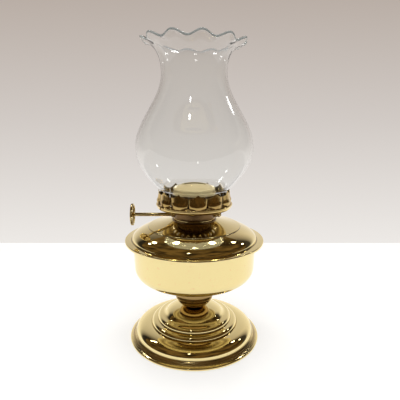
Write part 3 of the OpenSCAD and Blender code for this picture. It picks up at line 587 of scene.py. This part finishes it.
# Painted shade darkens the crease above the bead.
deflector_brass = brass_finish(
    "deflector_brass", (0.93, 0.80, 0.45, 1), (0.66, 0.49, 0.20, 1), STAIN_AND_SHADE, gloss=0.12, haze=0.24,
    shaded_corners=[(20.1, 147.3, 0.9)], mottle=0.7, metal=0.45,
)
CROWN_R, CROWN_Z, CROWN_RISE, DEFLECTOR_WALL = 18.2, 151.971, 3.4, 0.6
SLOT_HALF, SLOT_R, SLOT_LIP, SLOT_LIP_FROM = 11.8, 3.5, 0.25, 0.8
RING_GAP, CROWN_RINGS = 0.5, 12
deflector_foot = [(19.25, 142.97), (19.25, 145.97)]
deflector_bead = arc(20.0, 146.57, radius=0.6, start=-90, end=75, steps=8)
deflector_wall = [(20.0, 147.45)] + arc(CROWN_R, 150.171, radius=1.8, start=0, end=90)
crown_rings = [(CROWN_R - RING_GAP * i, CROWN_Z) for i in range(1, CROWN_RINGS + 1)]
bm = spun_mesh(deflector_foot + deflector_bead + deflector_wall + crown_rings)


def slot_edge(turn):
    """Distance from the axis to the edge of the flame slot."""
    cosine, sine = abs(math.cos(turn)), abs(math.sin(turn))
    straight = SLOT_HALF - SLOT_R
    if sine * straight > cosine * SLOT_R:
        return SLOT_R / sine
    return straight * cosine + math.sqrt(SLOT_R**2 - (straight * sine) ** 2)


for vert in bm.verts:
    r = vert.co.xy.length / MM
    if r < CROWN_R - RING_GAP / 2:
        turn = math.atan2(vert.co.y, vert.co.x)
        share = (CROWN_R - r) / (RING_GAP * CROWN_RINGS)
        r = CROWN_R + (slot_edge(turn) - CROWN_R) * share
        turned_up = SLOT_LIP * eased((share - SLOT_LIP_FROM) / (1 - SLOT_LIP_FROM))
        rise = CROWN_RISE * (1 - (r / CROWN_R) ** 2) + turned_up
        vert.co = around(r, math.degrees(turn), CROWN_Z + rise)
deflector = shown("flame_deflector_spun", bm)
sheet_walls(deflector, DEFLECTOR_WALL, edge=0.1)
deflector.data.materials.append(deflector_brass)
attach(deflector, "burner")
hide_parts("flame_deflector")

# Wick raiser: brass shaft with a stop ring, a thumbwheel on a small hub, and steel spur wheels that
# are pressed on inside the drum. The thumbwheel is dished, and its rim is notched for a grip.
raiser_brass = brass_finish(
    "raiser_brass", (0.90, 0.76, 0.40, 1), (0.72, 0.55, 0.24, 1), STAIN_AND_SHADE, gloss=0.07, haze=0.17,
    mottle=0.6,
)


def ring_path(r, start, end, edge):
    """A ring on the shaft, with its two outer edges taken off."""
    return [
        (SHAFT_BORE_R, start), (r - edge, start), (r, start + edge),
        (r, end - edge), (r - edge, end), (SHAFT_BORE_R, end),
    ]


SHAFT_LEFT, SHAFT_RIGHT = -60.1, 25.5
shaft_path = [
    (0, SHAFT_LEFT), (1.3, SHAFT_LEFT), (SHAFT_R, -59.7),
    (SHAFT_R, 25.0), (1.2, SHAFT_RIGHT), (0, SHAFT_RIGHT),
]
shaft = turned_on_raiser(
    "raiser_shaft_turned", shaft_path, raiser_brass, "wick_raiser", closed=False
)
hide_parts("raiser_shaft")
stop_path = ring_path(r=2.5, start=21.9, end=24.1, edge=0.25)
stop = turned_on_raiser("shaft_stop_turned", stop_path, raiser_brass, "wick_raiser")
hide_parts("shaft_stop")
hub_path = ring_path(r=2.7, start=SHAFT_LEFT, end=-56.5, edge=0.4)
hub = turned_on_raiser("thumbwheel_hub_turned", hub_path, raiser_brass, "wick_raiser")
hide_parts("thumbwheel_hub")

NOTCHES, NOTCH_DEPTH, NOTCH_FROM = 36, 0.38, 9.5
THUMB_R, THUMB_X, THUMB_BORE_R, THUMB_ROUND = 10.3, -58.3, 2.75, 0.5
thumb_path = (
    [(THUMB_BORE_R, -1.0), (8.2, -1.18)]
    + arc(THUMB_R - THUMB_ROUND, -0.7, THUMB_ROUND, start=-90, end=0, steps=5)
    + arc(THUMB_R - THUMB_ROUND, 0.7, THUMB_ROUND, start=0, end=90, steps=5)
    + arc(9.1, 0.8, radius=0.4, start=90, end=180, steps=4)
    + arc(8.2, 0.3, radius=0.5, start=0, end=-80, steps=4)
    + [(THUMB_BORE_R, 0)]
)
bm = spun_mesh([(r, THUMB_X + x) for r, x in thumb_path], closed=True, steps=8 * NOTCHES)
for vert in bm.verts:
    r = vert.co.xy.length
    if r > NOTCH_FROM * MM:
        bite = max(math.cos(NOTCHES * math.atan2(vert.co.y, vert.co.x)), 0) ** 2
        depth = NOTCH_DEPTH * MM * bite * (r / MM - NOTCH_FROM) / (THUMB_R - NOTCH_FROM)
        vert.co.xy *= (r - depth) / r
bmesh.ops.transform(bm, matrix=RAISER, verts=bm.verts)
thumbwheel = shown("thumbwheel_notched", bm)
thumbwheel.data.materials.append(raiser_brass)
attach(thumbwheel, "wick_raiser")
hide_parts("thumbwheel")
dress("spur_wheels", zinc_steel)

# Wick: flat band of woven cotton, trimmed square, that stands just proud of its tube.
# Undyed thread with a herringbone weave and a soft, slightly frayed edge.
RIB_HALF, WEAVE_SCALE, LINT_SCALE, NAP_DEPTH = 1.2, 260.0, 900.0, 0.2
cotton, tree, shader, add = new_finish("cotton_wick")
place = add("ShaderNodeTexCoord").outputs["Object"]
split = add("ShaderNodeSeparateXYZ", {"Vector": place})
fold = add(
    "ShaderNodeMath", {0: split.outputs["X"], 1: RIB_HALF * MM}, operation="PINGPONG"
).outputs["Value"]
slant = add("ShaderNodeCombineXYZ", {"X": fold, "Z": split.outputs["Z"]}).outputs["Vector"]
weave = add(
    "ShaderNodeTexWave", {"Vector": slant, "Scale": WEAVE_SCALE, "Distortion": 0.8, "Detail": 1.0},
    bands_direction="DIAGONAL",
)
lint = add("ShaderNodeTexNoise", {"Vector": place, "Scale": LINT_SCALE, "Detail": 4.0})
strand = add(
    "ShaderNodeMath", {0: weave.outputs["Fac"], 1: lint.outputs["Fac"]}, operation="MULTIPLY"
).outputs["Value"]
thread = add("ShaderNodeValToRGB", {"Fac": strand})
thread.color_ramp.elements[0].color = (0.50, 0.45, 0.35, 1)
thread.color_ramp.elements[1].position = 0.6
thread.color_ramp.elements[1].color = (0.88, 0.85, 0.76, 1)
nap = add("ShaderNodeBump", {"Strength": 0.5, "Distance": NAP_DEPTH * MM, "Height": strand})
tree.links.new(thread.outputs["Color"], shader.inputs["Base Color"])
tree.links.new(nap.outputs["Normal"], shader.inputs["Normal"])
shader.inputs["Roughness"].default_value = 0.95
shader.inputs["Sheen Weight"].default_value = 0.3

WICK_FOOT, WICK_TOP, WICK_W, WICK_T = 70.371, 151.371, 19.0, 2.2
TRIM_WAVE, TRIM_RATE, EDGE_ROUND = 0.15, 4.3, 0.35
bm = bmesh.new()
outline = bmesh.ops.create_circle(bm, cap_ends=True, segments=40, radius=WICK_T / 2 * MM)["verts"]
for vert in outline:
    if abs(vert.co.x) > 1e-6:
        vert.co.x += math.copysign((WICK_W - WICK_T) / 2 * MM, vert.co.x)
    vert.co.z = WICK_FOOT * MM
top = bmesh.ops.extrude_face_region(bm, geom=bm.faces[:])["geom"]
for vert in [part for part in top if isinstance(part, bmesh.types.BMVert)]:
    vert.co.z = (WICK_TOP - TRIM_WAVE + TRIM_WAVE * math.sin(vert.co.x / MM * TRIM_RATE)) * MM
bm.normal_update()
wick = shown("wick_woven", sealed(bm))
soft_edge = wick.modifiers.new("soft_edge", "BEVEL")
soft_edge.width = EDGE_ROUND * MM
soft_edge.segments = 3
soft_edge.limit_method = "ANGLE"
soft_edge.angle_limit = math.radians(50)
wick.data.materials.append(cotton)
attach(wick, "wick")
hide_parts("wick")

# Chimney: blown glass with a straight fitter, a round bulb, a waist and a flared rim that was
# crimped into waves by hand while hot, so it isn't quite level. Clear, with faint blowing ripples
# and a grey-green lip that is partly diffuse and pale, as painted light on the rim's edge.
GLASS_IOR, CORD_DEPTH = 1.47, 0.6
clear_glass, tree, shader, add = new_finish("chimney_glass")
place = add("ShaderNodeTexCoord").outputs["Object"]
drawn = add("ShaderNodeMapping", {"Vector": place, "Scale": (1, 1, 0.45)}).outputs["Vector"]
ripple = add("ShaderNodeTexNoise", {"Vector": drawn, "Scale": 45.0, "Detail": 1.0})
cords = add(
    "ShaderNodeBump",
    {"Strength": 0.10, "Distance": CORD_DEPTH * MM, "Height": ripple.outputs["Fac"]},
)
tree.links.new(cords.outputs["Normal"], shader.inputs["Normal"])
shader.inputs["Base Color"].default_value = (0.975, 0.981, 0.973, 1)
shader.inputs["Roughness"].default_value = 0.0
shader.inputs["IOR"].default_value = GLASS_IOR
shader.inputs["Transmission Weight"].default_value = 1.0
# Painted light: the lip is part diffuse and pale, so the rim's edge shows light instead of the dark
# line its refraction gives.
lip_glass_painted_light, tree, shader, add = new_finish("lip_glass_painted_light")
shader.inputs["Base Color"].default_value = (0.80, 0.84, 0.81, 1)
shader.inputs["Roughness"].default_value = 0.1
shader.inputs["IOR"].default_value = GLASS_IOR
shader.inputs["Transmission Weight"].default_value = 0.6

FITTER_R, FITTER_FOOT, FITTER_TOP = 31.75, 132.48, 149.471
BULB_R, BULB_Z, WAIST_R, WAIST_Z = 54.3, 188.971, 29.6, 254.971
FLARE_W, FLARE_H, GLASS_WALL = 15.4, 24.95, 1.85
FLARE_BEND, FLARE_CLIMB = 2.1, 1.5
CRIMPS, CRIMP_TURN, CRIMP_FROM, CRIMP_GROWTH = 12, -82, 0.1, 1.9
CRIMP_OUT, CRIMP_UP, RIM_LEAN = 1.75, 1.9, 1.4
BULB_STEPS, FLARE_STEPS, CRIMP_STEPS = 40, 32, 24


def glass_face():
    """Outer face of the plain glass, from the fitter's foot to the lip."""
    shares = [i / BULB_STEPS for i in range(1, BULB_STEPS + 1)]
    fitter = [(FITTER_R, z) for z in (FITTER_FOOT, 138.0, 144.0, FITTER_TOP)]
    bulb = [
        (BULB_R - (BULB_R - FITTER_R) * (1 - s) ** 2, BULB_Z - (BULB_Z - FITTER_TOP) * (1 - s))
        for s in shares
    ]
    waist = [
        (
            WAIST_R + (BULB_R - WAIST_R) * (1 + math.cos(math.pi * s)) / 2,
            BULB_Z + (WAIST_Z - BULB_Z) * s,
        )
        for s in shares
    ]
    flare = [
        (WAIST_R + FLARE_W * t**FLARE_BEND, WAIST_Z + FLARE_H * (1 - (1 - t) ** FLARE_CLIMB))
        for t in [i / FLARE_STEPS for i in range(1, FLARE_STEPS + 1)]
    ]
    return fitter + bulb + waist + flare


def inside(path, wall):
    """The path moved towards the axis by the wall, square to its own run."""
    moved = []
    for i, (r, z) in enumerate(path):
        before, after = path[max(i - 1, 0)], path[min(i + 1, len(path) - 1)]
        run = Vector((after[0] - before[0], after[1] - before[1])).normalized()
        moved.append((r - wall * run.y, z + wall * run.x))
    return moved


outer = glass_face()
inner = inside(outer, GLASS_WALL)
(outer_r, outer_z), (inner_r, inner_z) = outer[-1], inner[-1]
lip_r, lip_z = (outer_r + inner_r) / 2, (outer_z + inner_z) / 2
lip_start = math.degrees(math.atan2(outer_z - lip_z, outer_r - lip_r))
lip = arc(lip_r, lip_z, GLASS_WALL / 2, lip_start, lip_start + 180, steps=8)[1:-1]
lip_reach = 0.53 * GLASS_WALL
bm = spun_mesh(outer + lip + inner[::-1], closed=True, steps=CRIMP_STEPS * CRIMPS)
for face in bm.faces:
    middle = face.calc_center_median() / MM
    if math.hypot(middle.xy.length - lip_r, middle.z - lip_z) < lip_reach:
        face.material_index = 1
for vert in bm.verts:
    height = (vert.co.z / MM - WAIST_Z) / FLARE_H
    if height <= 0:
        continue
    along = 1 - max(1 - height, 0) ** (1 / FLARE_CLIMB)
    share = min(max((along - CRIMP_FROM) / (1 - CRIMP_FROM), 0), 1)
    turn = math.atan2(vert.co.y, vert.co.x)
    wave = math.cos(CRIMPS * (turn - math.radians(CRIMP_TURN))) * share**CRIMP_GROWTH
    r = vert.co.xy.length
    vert.co.xy *= (r + CRIMP_OUT * wave * MM) / r
    vert.co.z += (CRIMP_UP * wave - RIM_LEAN * share * math.cos(turn)) * MM
chimney = shown("glass_chimney_blown", bm, smooth_below=180)
chimney.data.materials.append(clear_glass)
chimney.data.materials.append(lip_glass_painted_light)
chimney.visible_shadow = False
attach(chimney, "chimney")
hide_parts("glass_chimney")

# Table and backdrop: a plain white floor and a plain pale wall that is seen from its front only.
# Where brass mirrors them, the floor stops at the table's front edge and the wall fades towards its
# sides and top.
FLOOR_HALF, WALL_HALF = 4, 3
TABLE_EDGE, TABLE_FRONT, WALL_TOP = 0.286, -0.36, 0.45
DARK_ROOM = (0.078, 0.048, 0.018, 1)
DIM_ROOM = (0.38, 0.37, 0.365, 1)
TABLE_WHITE, TABLE_PALE = (0.62, 0.62, 0.615, 1), (1, 0.995, 0.985, 1)
WALL_LOW, WALL_HIGH = (0.85, 0.82, 0.79, 1), (0.48, 0.415, 0.37, 1)
WALL_BETWEEN, WALL_BETWEEN_AT = (0.638, 0.591, 0.558, 1), 0.52
TABLE_GLOW, MIRRORED_GLOW = 0.42, 0.22


def stage_plane(name, shaded_corners):
    """A flat piece of the setting, which isn't part of the lamp."""
    bm = bmesh.new()
    bm.faces.new([bm.verts.new(c) for c in shaded_corners])
    piece = shown(name, bm)
    return piece


def mirrored_rays(add, paths):
    """Picks out the rays that brass mirrors in the open, and those that also pass the glass."""
    mirrored = add(
        "ShaderNodeMath", {0: paths.outputs["Glossy Depth"], 1: 0.5}, operation="GREATER_THAN"
    ).outputs["Value"]
    glazed = add(
        "ShaderNodeMath", {0: paths.outputs["Transmission Depth"], 1: 0.5}, operation="GREATER_THAN"
    ).outputs["Value"]
    behind_glass = add(
        "ShaderNodeMath", {0: mirrored, 1: glazed}, operation="MULTIPLY"
    ).outputs["Value"]
    in_open = add(
        "ShaderNodeMath", {0: mirrored, 1: behind_glass}, operation="SUBTRACT"
    ).outputs["Value"]
    return in_open, behind_glass


floor = stage_plane(
    "floor",
    [
        (-FLOOR_HALF, -FLOOR_HALF, 0), (FLOOR_HALF, -FLOOR_HALF, 0),
        (FLOOR_HALF, FLOOR_HALF, 0), (-FLOOR_HALF, FLOOR_HALF, 0),
    ],
)
floor_white, tree, add = bare_finish("floor_white")
paths = add("ShaderNodeLightPath")
watched = add(
    "ShaderNodeMath", {0: paths.outputs["Is Camera Ray"], 1: paths.outputs["Is Glossy Ray"]},
    operation="MAXIMUM",
).outputs["Value"]
watched = add(
    "ShaderNodeMath", {0: watched, 1: paths.outputs["Is Transmission Ray"]}, operation="MAXIMUM"
).outputs["Value"]
paler = add(
    "ShaderNodeMath", {0: paths.outputs["Is Glossy Ray"], 1: MIRRORED_GLOW}, operation="MULTIPLY"
).outputs["Value"]
paleness = add(
    "ShaderNodeMath", {0: watched, 1: TABLE_GLOW, 2: paler}, operation="MULTIPLY_ADD"
).outputs["Value"]
matt = add("ShaderNodeBsdfDiffuse", {"Color": TABLE_WHITE})
pale = add("ShaderNodeEmission", {"Color": TABLE_PALE, "Strength": paleness})
table = add("ShaderNodeAddShader", {0: matt.outputs["BSDF"], 1: pale.outputs["Emission"]})
place = add("ShaderNodeTexCoord").outputs["Object"]
split = add("ShaderNodeSeparateXYZ", {"Vector": place})
beyond = add(
    "ShaderNodeMath", {0: split.outputs["Y"], 1: TABLE_FRONT}, operation="LESS_THAN"
).outputs["Value"]
reflected, glazed = mirrored_rays(add, paths)
unlit = add("ShaderNodeMath", {0: beyond, 1: reflected}, operation="MULTIPLY").outputs["Value"]
dark = add("ShaderNodeEmission", {"Color": DARK_ROOM, "Strength": 1.0})
ground = add(
    "ShaderNodeMixShader", {0: unlit, 1: table.outputs["Shader"], 2: dark.outputs["Emission"]}
)
dim = add("ShaderNodeEmission", {"Color": DIM_ROOM, "Strength": 1.0})
ground = add(
    "ShaderNodeMixShader", {0: glazed, 1: ground.outputs["Shader"], 2: dim.outputs["Emission"]}
)
add("ShaderNodeOutputMaterial", {"Surface": ground.outputs["Shader"]})
floor.data.materials.append(floor_white)

backdrop = stage_plane(
    "backdrop",
    [
        (-WALL_HALF, TABLE_EDGE, 0), (WALL_HALF, TABLE_EDGE, 0),
        (WALL_HALF, TABLE_EDGE, WALL_TOP), (-WALL_HALF, TABLE_EDGE, WALL_TOP),
    ],
)
wall_painted_light, tree, add = bare_finish("wall_painted_light")
place = add("ShaderNodeTexCoord").outputs["Object"]
split = add("ShaderNodeSeparateXYZ", {"Vector": place})
# Painted light: the wall's colour is pale low down and darker towards its top.
fade = add("ShaderNodeMapRange", {"Value": split.outputs["Z"], "From Min": 0.0, "From Max": 0.40})
wall_tone = add("ShaderNodeValToRGB", {"Fac": fade.outputs["Result"]})
wall_tone.color_ramp.elements[0].color = WALL_LOW
wall_tone.color_ramp.elements[1].color = WALL_HIGH
wall_tone.color_ramp.elements.new(WALL_BETWEEN_AT).color = WALL_BETWEEN
paths = add("ShaderNodeLightPath")
aside = add("ShaderNodeMath", {0: split.outputs["X"]}, operation="ABSOLUTE").outputs["Value"]
spread = add(
    "ShaderNodeMath", {0: aside, 1: split.outputs["Z"]}, operation="MULTIPLY"
).outputs["Value"]
lit_wide = add(
    "ShaderNodeMapRange",
    {"Value": spread, "From Min": 0.05, "From Max": 0.14, "To Min": 1.25, "To Max": 0.1},
).outputs["Result"]
lit_top = add(
    "ShaderNodeMapRange",
    {
        "Value": split.outputs["X"], "From Min": 0.05, "From Max": 0.2,
        "To Min": 0.45, "To Max": 0.9,
    },
).outputs["Result"]
lit_high = add(
    "ShaderNodeMapRange",
    {
        "Value": split.outputs["Z"], "From Min": 0.1, "From Max": 0.36,
        "To Min": 1.0, "To Max": lit_top,
    },
).outputs["Result"]
lit = add("ShaderNodeMath", {0: lit_wide, 1: lit_high}, operation="MULTIPLY").outputs["Value"]
reflected = mirrored_rays(add, paths)[0]
strength = add(
    "ShaderNodeMix", {"Factor": reflected, "A": 1.0, "B": lit}, data_type="FLOAT"
).outputs["Result"]
glow = add("ShaderNodeEmission", {"Color": wall_tone.outputs["Color"], "Strength": strength})
behind = add("ShaderNodeNewGeometry").outputs["Backfacing"]
wall = add(
    "ShaderNodeMixShader",
    {0: behind, 1: glow.outputs["Emission"], 2: add("ShaderNodeBsdfTransparent").outputs["BSDF"]},
)
add("ShaderNodeOutputMaterial", {"Surface": wall.outputs["Shader"]})
backdrop.data.materials.append(wall_painted_light)

# Light: an even pale room with one wide soft panel overhead. Polished brass looks like what it
# mirrors, so its reflections show a darker, warmer room with a few small lamps in it.
PALE_ROOM = (0.93, 0.92, 0.91, 1)
world = bpy.data.worlds.new("room")
bpy.context.scene.world = world
world.use_nodes = True
tree = world.node_tree
tree.nodes.clear()
add = node_maker(tree)
paths = add("ShaderNodeLightPath")
reflected, glazed = mirrored_rays(add, paths)
outlook = add("ShaderNodeTexCoord").outputs["Generated"]
furnished = add("ShaderNodeTexNoise", {"Vector": outlook, "Scale": 3.2, "Detail": 1.0})
shades = add(
    "ShaderNodeMapRange",
    {
        "Value": furnished.outputs["Fac"], "From Min": 0.36, "From Max": 0.64,
        "To Min": 0.4, "To Max": 2.0,
    },
)
pale_room = add("ShaderNodeBackground", {"Color": PALE_ROOM, "Strength": 0.8})
dark_room = add("ShaderNodeBackground", {"Color": DARK_ROOM, "Strength": shades.outputs["Result"]})
dim_room = add("ShaderNodeBackground", {"Color": DIM_ROOM, "Strength": 1.0})
room = add(
    "ShaderNodeMixShader",
    {0: reflected, 1: pale_room.outputs["Background"], 2: dark_room.outputs["Background"]},
)
room = add(
    "ShaderNodeMixShader", {0: glazed, 1: room.outputs["Shader"], 2: dim_room.outputs["Background"]}
)
add("ShaderNodeOutputWorld", {"Surface": room.outputs["Shader"]})
FONT_MIDDLE = Vector((0, 0, 0.1))


def lamp(name, shape, size, energy, location):
    """An area lamp that is turned towards the font."""
    light = bpy.data.lights.new(name, "AREA")
    light.shape = shape
    light.size = size
    light.energy = energy
    holder = bpy.data.objects.new(name, light)
    holder.location = location
    holder.rotation_euler = (FONT_MIDDLE - Vector(location)).to_track_quat("-Z", "Y").to_euler()
    holder.visible_camera = False
    bpy.context.scene.collection.objects.link(holder)
    return holder


soft_panel = lamp("soft_panel", "SQUARE", size=1.4, energy=9, location=(0, -0.1, 1.5))
soft_panel.visible_glossy = False
soft_panel.visible_transmission = False
for name, turn, rise, size, energy in (
    ("spot_left_high", -147, 63, 0.11, 0.5),
    ("spot_left_low", -131, 47, 0.08, 0.25),
    ("spot_right_high", 147, 63, 0.11, 0.5),
    ("spot_right_low", 133, 47, 0.07, 0.2),
    ("spot_overhead", 180, 84, 0.07, 0.12),
    ("spot_front", -14, 60, 0.06, 0.12),
    ("spot_side_right", 120, 36, 0.06, 0.12),
    ("spot_side_left", -123, 42, 0.06, 0.12),
):
    turn, rise = math.radians(turn), math.radians(rise)
    level = math.cos(rise)
    toward = Vector((math.sin(turn) * level, -math.cos(turn) * level, math.sin(rise)))
    lamp(name, "DISK", size, energy, toward + FONT_MIDDLE)

# Camera: at the photograph's height and distance, looking a little down, with the lamp slightly
# beside the picture's middle.
camera_data = bpy.data.cameras.new("camera")
camera_data.sensor_width = 36
camera_data.lens = 35.55
camera_data.shift_x = 0.0145
camera = bpy.data.objects.new("camera", camera_data)
camera.location = (0, -0.368, 0.219)
camera.rotation_euler = (math.radians(90 - 12.3), 0, 0)
bpy.context.scene.collection.objects.link(camera)
bpy.context.scene.camera = camera
bpy.context.scene.view_settings.view_transform = "Standard"
